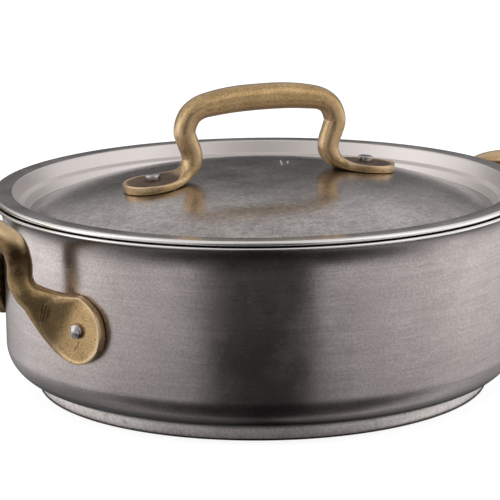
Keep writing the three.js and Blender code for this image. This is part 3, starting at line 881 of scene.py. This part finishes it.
# Masks on the turned steel. Each is a colour, a roughness or None, and ramps over r, z or down.
BODY_MASKS = (
    # painted shade: a dim band under the lip and round the lower corner, where the steel faces down
    (BLACK, None, (("down", (0.15, 0.8), (0.45, 0)), ("z", (0.082, 0), (0.085, 1)))),
    (BLACK, None, (
        (
            "down", (0.02, 1), (0.1, 0.97), (0.17, 0.78), (0.25, 0.5), (0.35, 0.37),
            (0.42, 0.3), (0.49, 0),
        ),
        ("z", (0.022, 1), (0.03, 0)),
        ("r", (0.05, 0), (0.1, 1)),
    )),
    # the flat of the lip is dim with the painted shadow of the lid's bead, and its edge is polished
    # and brightened with a painted highlight
    (BLACK, None, (("z", (0.0898, 0), (0.0902, 1)), ("r", (0.1215, 0), (0.1222, 0.93)))),
    (POLISH_AND_HIGHLIGHT, 0.15, (("r", (0.1256, 0), (0.1262, 1)), ("z", (0.0888, 0), (0.0893, 1)))),
)
LID_MASKS = (
    # everything outside the dome is paler, the bevel, ledge and wall are also duller, and the edge
    # of the dome is dim with painted shade where it meets the bevel
    ((0.78, 0.72, 0.70), None, (("r", (0.1088, 0), (0.1093, 0.75)),)),
    ((0.74, 0.685, 0.665), 0.46, (
        ("r", (0.1088, 0), (0.1093, 0.8)),
        ("r", (0.1162, 1), (0.1168, 0)),
    )),
    (BLACK, None, (("r", (0.1000, 0), (0.1050, 0.5)), ("r", (0.1085, 1), (0.1089, 0)))),
    # the bead is polished and brightened with a painted highlight above, and dim with painted shade
    # below
    (POLISH_AND_HIGHLIGHT, 0.15, (("r", (0.1229, 0), (0.1234, 1)), ("z", (0.0908, 0), (0.0913, 1)))),
    (BLACK, None, (("r", (0.1225, 0), (0.1228, 0.93)), ("z", (0.0908, 1), (0.0913, 0)))),
)
# the rim of the plate is dim with painted shade where it meets the floor
PLATE_MASKS = ((BLACK, None, (("r", (0.1055, 0), (0.1058, 0.88)),)),)
# Two scratches on the dome: start and end, in millimetres
LID_SCRATCHES = (
    ((23.2, 30.5, 97.4), (18.3, 17.5, 97.9)),
    ((25.6, 27.2, 97.5), (22.5, 20.5, 97.7)),
)

make_camera()
body_steel = brushed(
    "body_steel", (0.60, 0.535, 0.52), rough=0.27, streak=0.26, mottle=0.13,
    anisotropic=0.45, dark=0.9, masks=BODY_MASKS,
)
lid_steel = brushed(
    "lid_steel", (0.58, 0.525, 0.51), rough=0.21, streak=0.22, mottle=0.46,
    anisotropic=0.1, dark=0.85, masks=LID_MASKS, dents=3.0, scratches=LID_SCRATCHES,
)
plate_steel = brushed(
    "plate_steel", (0.42, 0.385, 0.37), rough=0.35, streak=0.35, mottle=0.3,
    anisotropic=0.4, dark=0.85, masks=PLATE_MASKS,
)
brass = cast_brass()
rivets = rivet_steel()

turned = (
    ("pot_body", pot_profile(), SHELL_SIDES, body_steel, "pot", "steel"),
    ("base_core", core_profile(), DISC_SIDES, cast_alloy(), "pot", "base_alloy"),
    ("base_plate", plate_profile(), DISC_SIDES, plate_steel, "pot", "steel"),
    ("lid_plate", lid_profile(), SHELL_SIDES, lid_steel, "lid", "steel"),
)
for node, profile, segments, material, body, slot_name in turned:
    points, faces = lathe(profile, segments)
    build(node + "_skin", points, faces, material, body, [node], SHARP_TURNED)

side_handle("side_handle_right", 1, brass)
side_handle("side_handle_left", -1, brass)
lid_handle("lid_handle", brass)

side_angle = math.asin(RIVET_SPACING / 2 / (POT_RADIUS + FOOT_THICKNESS / 2))
for side, side_name in ((1, "right"), (-1, "left")):
    for sign, letter in ((1, "a"), (-1, "b")):
        out = np.array((math.cos(side_angle), sign * math.sin(side_angle), 0))
        if side < 0:
            out[:2] *= -1
        inward = np.array((out[1], -out[0], 0)) * sign
        place = out * (POT_RADIUS + FOOT_THICKNESS) - inward * SIDE_RIVET_SHIFT
        place[2] = SIDE_RIVET_HEIGHT
        rivet(f"side_rivet_{side_name}_{letter}", place, out, "pot", rivets, SIDE_SINK, SIDE_CROWN)
slope, half = lid_slope(), RIVET_SPACING / 2
for sign, side_name in ((1, "right"), (-1, "left")):
    out = np.array((sign * math.sin(slope), 0, math.cos(slope)))
    place = np.array((sign * half, 0, float(dome_height(half)))) + out * FOOT_THICKNESS
    rivet(f"lid_rivet_{side_name}", place, out, "lid", rivets, LID_SINK, LID_CROWN)


# Studio

# The studio's brightness in rings round the pot: (turn, level). A turn of 0.5 is on the camera's
# side, 0.25 at the left, 0.75 at the right, and 0 and 1 behind the pot.
UNDER = (
    (0.0, 0.02), (0.04, 0.2), (0.17, 0.6), (0.25, 0.7), (0.32, 0.25), (0.37, 0.1),
    (0.41, 0.05), (0.5, 0.025), (0.59, 0.05), (0.65, 0.12), (0.70, 0.25), (0.75, 0.9),
    (0.79, 1.4), (0.9, 0.6), (0.96, 0.1), (1.0, 0.02),
)
LOW = (
    (0.0, 0.02), (0.035, 0.1), (0.06, 0.6), (0.1, 0.9), (0.15, 1.35), (0.25, 1.08),
    (0.33, 0.75), (0.408, 0.68), (0.442, 0.035), (0.555, 0.022), (0.573, 0.60), (0.65, 0.71),
    (0.70, 0.77), (0.79, 1.0), (0.85, 0.98), (0.91, 0.8), (0.94, 0.6), (0.965, 0.1),
    (1.0, 0.02),
)
MIDDLE = (
    (0.0, 0.07), (0.015, 0.09), (0.04, 0.22), (0.12, 0.25), (0.2, 1.4), (0.28, 1.7),
    (0.33, 0.75), (0.40, 0.45), (0.47, 0.15), (0.53, 0.15), (0.60, 0.4), (0.67, 0.9),
    (0.8, 1.3), (0.88, 0.25), (0.965, 0.22), (1.0, 0.07),
)
HIGH = (
    (0.0, 0.66), (0.2, 0.8), (0.29, 1.5), (0.34, 1.0), (0.42, 0.75), (0.5, 0.32),
    (0.58, 0.8), (0.67, 1.3), (0.8, 0.8), (1.0, 0.66),
)
# Between which heights each ring takes over from the one below: 0 is below, 0.5 level, 1 above.
RISES = ((LOW, 0.32, 0.40), (MIDDLE, 0.45, 0.5), (HIGH, 0.565, 0.655))
CEILING, CEILING_RISE = 0.68, (0.75, 0.9)
BACKDROP, FILL = 1.0, 0.85  # what the camera sees, and what lights matte surfaces

FLOOR_RADIUS, FLOOR_DROP, FLOOR_SIDES = 4, 0.3 * MM, 64
FLOOR_GLOW, FLOOR_MATTE, FLOOR_PLAIN = 0.84, 0.32, 0.8
# How much of the studio metal sees through the floor, by distance from the axis in metres: a
# painted shadow round the pot that only reflections show
FLOOR_SHADE = (
    (0.105, 0.9), (0.121, 0.8), (0.14, 0.62), (0.19, 0.66), (0.28, 0.76), (0.36, 1.0),
)

# The lamps, in metres
LAMPS = (("lamp_left", -1.5), ("lamp_right", 1.5))
LAMP_PLACE = (-0.6, 1.2)
LAMP_AIM = Vector((0, 0, 0.06))
LAMP_SIZE, LAMP_POWER = 0.9, 10


def studio_world():
    """A pale studio: bright walls at the sides and above, dim round the camera and behind."""
    world = bpy.data.worlds.new("studio")
    bpy.context.scene.world = world
    world.use_nodes = True
    n = Nodes(world.node_tree)
    ray = n.node("ShaderNodeLightPath")
    coordinates = n.node("ShaderNodeTexCoord").outputs["Generated"]
    facing = n.node(
        "ShaderNodeVectorRotate",
        {"Vector": coordinates, "Axis": (0, 0, 1), "Angle": TURN},
        rotation_type="AXIS_ANGLE",
    ).outputs[0]
    x, y, z = n.split(facing)
    turn = n.math("ARCTAN2", x, n.times(y, -1.0))
    turn = n.plus(n.math("DIVIDE", turn, 2 * math.pi), 0.5)
    rise = n.plus(n.math("DIVIDE", n.math("ARCSINE", z), math.pi), 0.5)
    level = n.ramp(turn, *UNDER)
    for ring, start, end in RISES:
        level = n.mix(n.ramp(rise, (start, 0), (end, 1)), level, n.ramp(turn, *ring))
    start, end = CEILING_RISE
    level = n.mix(n.ramp(rise, (start, 0), (end, 1)), level, grey(CEILING))
    seen = n.mix(ray.outputs["Is Camera Ray"], level, grey(BACKDROP))
    seen = n.mix(ray.outputs["Is Diffuse Ray"], seen, grey(FILL))
    background = n.node("ShaderNodeBackground", {"Color": seen, "Strength": 1.0})
    n.node("ShaderNodeOutputWorld", {"Surface": background.outputs[0]})


def make_floor():
    """A white floor that keeps a faint shadow. Metal looks through it to the studio, darkened round
    the pot by a painted shadow.
    """
    mesh = bpy.data.meshes.new("floor")
    angles = np.linspace(0, 2 * math.pi, FLOOR_SIDES + 1)[:-1]
    ring = [
        (FLOOR_RADIUS * math.cos(a), FLOOR_RADIUS * math.sin(a), -FLOOR_DROP) for a in angles
    ]
    mesh.from_pydata(ring, [], [tuple(range(FLOOR_SIDES))])
    floor = bpy.data.objects.new("floor", mesh)
    bpy.context.scene.collection.objects.link(floor)
    material, n, position = surface("floor")
    ray = n.node("ShaderNodeLightPath")
    glow = n.node("ShaderNodeEmission", {"Color": (1, 1, 1, 1), "Strength": FLOOR_GLOW})
    matte = n.node("ShaderNodeBsdfDiffuse", {"Color": (*grey(FLOOR_MATTE), 1)})
    plain = n.node("ShaderNodeBsdfDiffuse", {"Color": (*grey(FLOOR_PLAIN), 1)})
    x, y, _ = n.split(position)
    shade = n.ramp(axis_distance(n, x, y), *FLOOR_SHADE)
    clear = n.node("ShaderNodeBsdfTransparent", {"Color": shade})
    white = n.node("ShaderNodeAddShader", {0: glow.outputs[0], 1: matte.outputs[0]})
    seen = n.node(
        "ShaderNodeMixShader",
        {0: ray.outputs["Is Camera Ray"], 1: plain.outputs[0], 2: white.outputs[0]},
    )
    both = n.node(
        "ShaderNodeMixShader",
        {0: ray.outputs["Is Glossy Ray"], 1: seen.outputs[0], 2: clear.outputs[0]},
    )
    n.node("ShaderNodeOutputMaterial", {"Surface": both.outputs[0]})
    mesh.materials.append(material)


def lamp(name, place, size, power):
    """A soft square lamp that faces the pot. Its place is in the camera's directions, and
    metal doesn't mirror it."""
    data = bpy.data.lights.new(name, "AREA")
    data.shape, data.size, data.energy = "SQUARE", size, power
    made = bpy.data.objects.new(name, data)
    bpy.context.scene.collection.objects.link(made)
    made.location = Matrix.Rotation(-TURN, 3, "Z") @ Vector(place)
    aim = LAMP_AIM - made.location
    made.rotation_euler = aim.to_track_quat("-Z", "Y").to_euler()
    made.visible_glossy = False


studio_world()
make_floor()
for lamp_name, aside in LAMPS:
    lamp(lamp_name, (aside, *LAMP_PLACE), LAMP_SIZE, LAMP_POWER)

bpy.context.scene.view_settings.view_transform = "Standard"

bpy.context.view_layer.update()
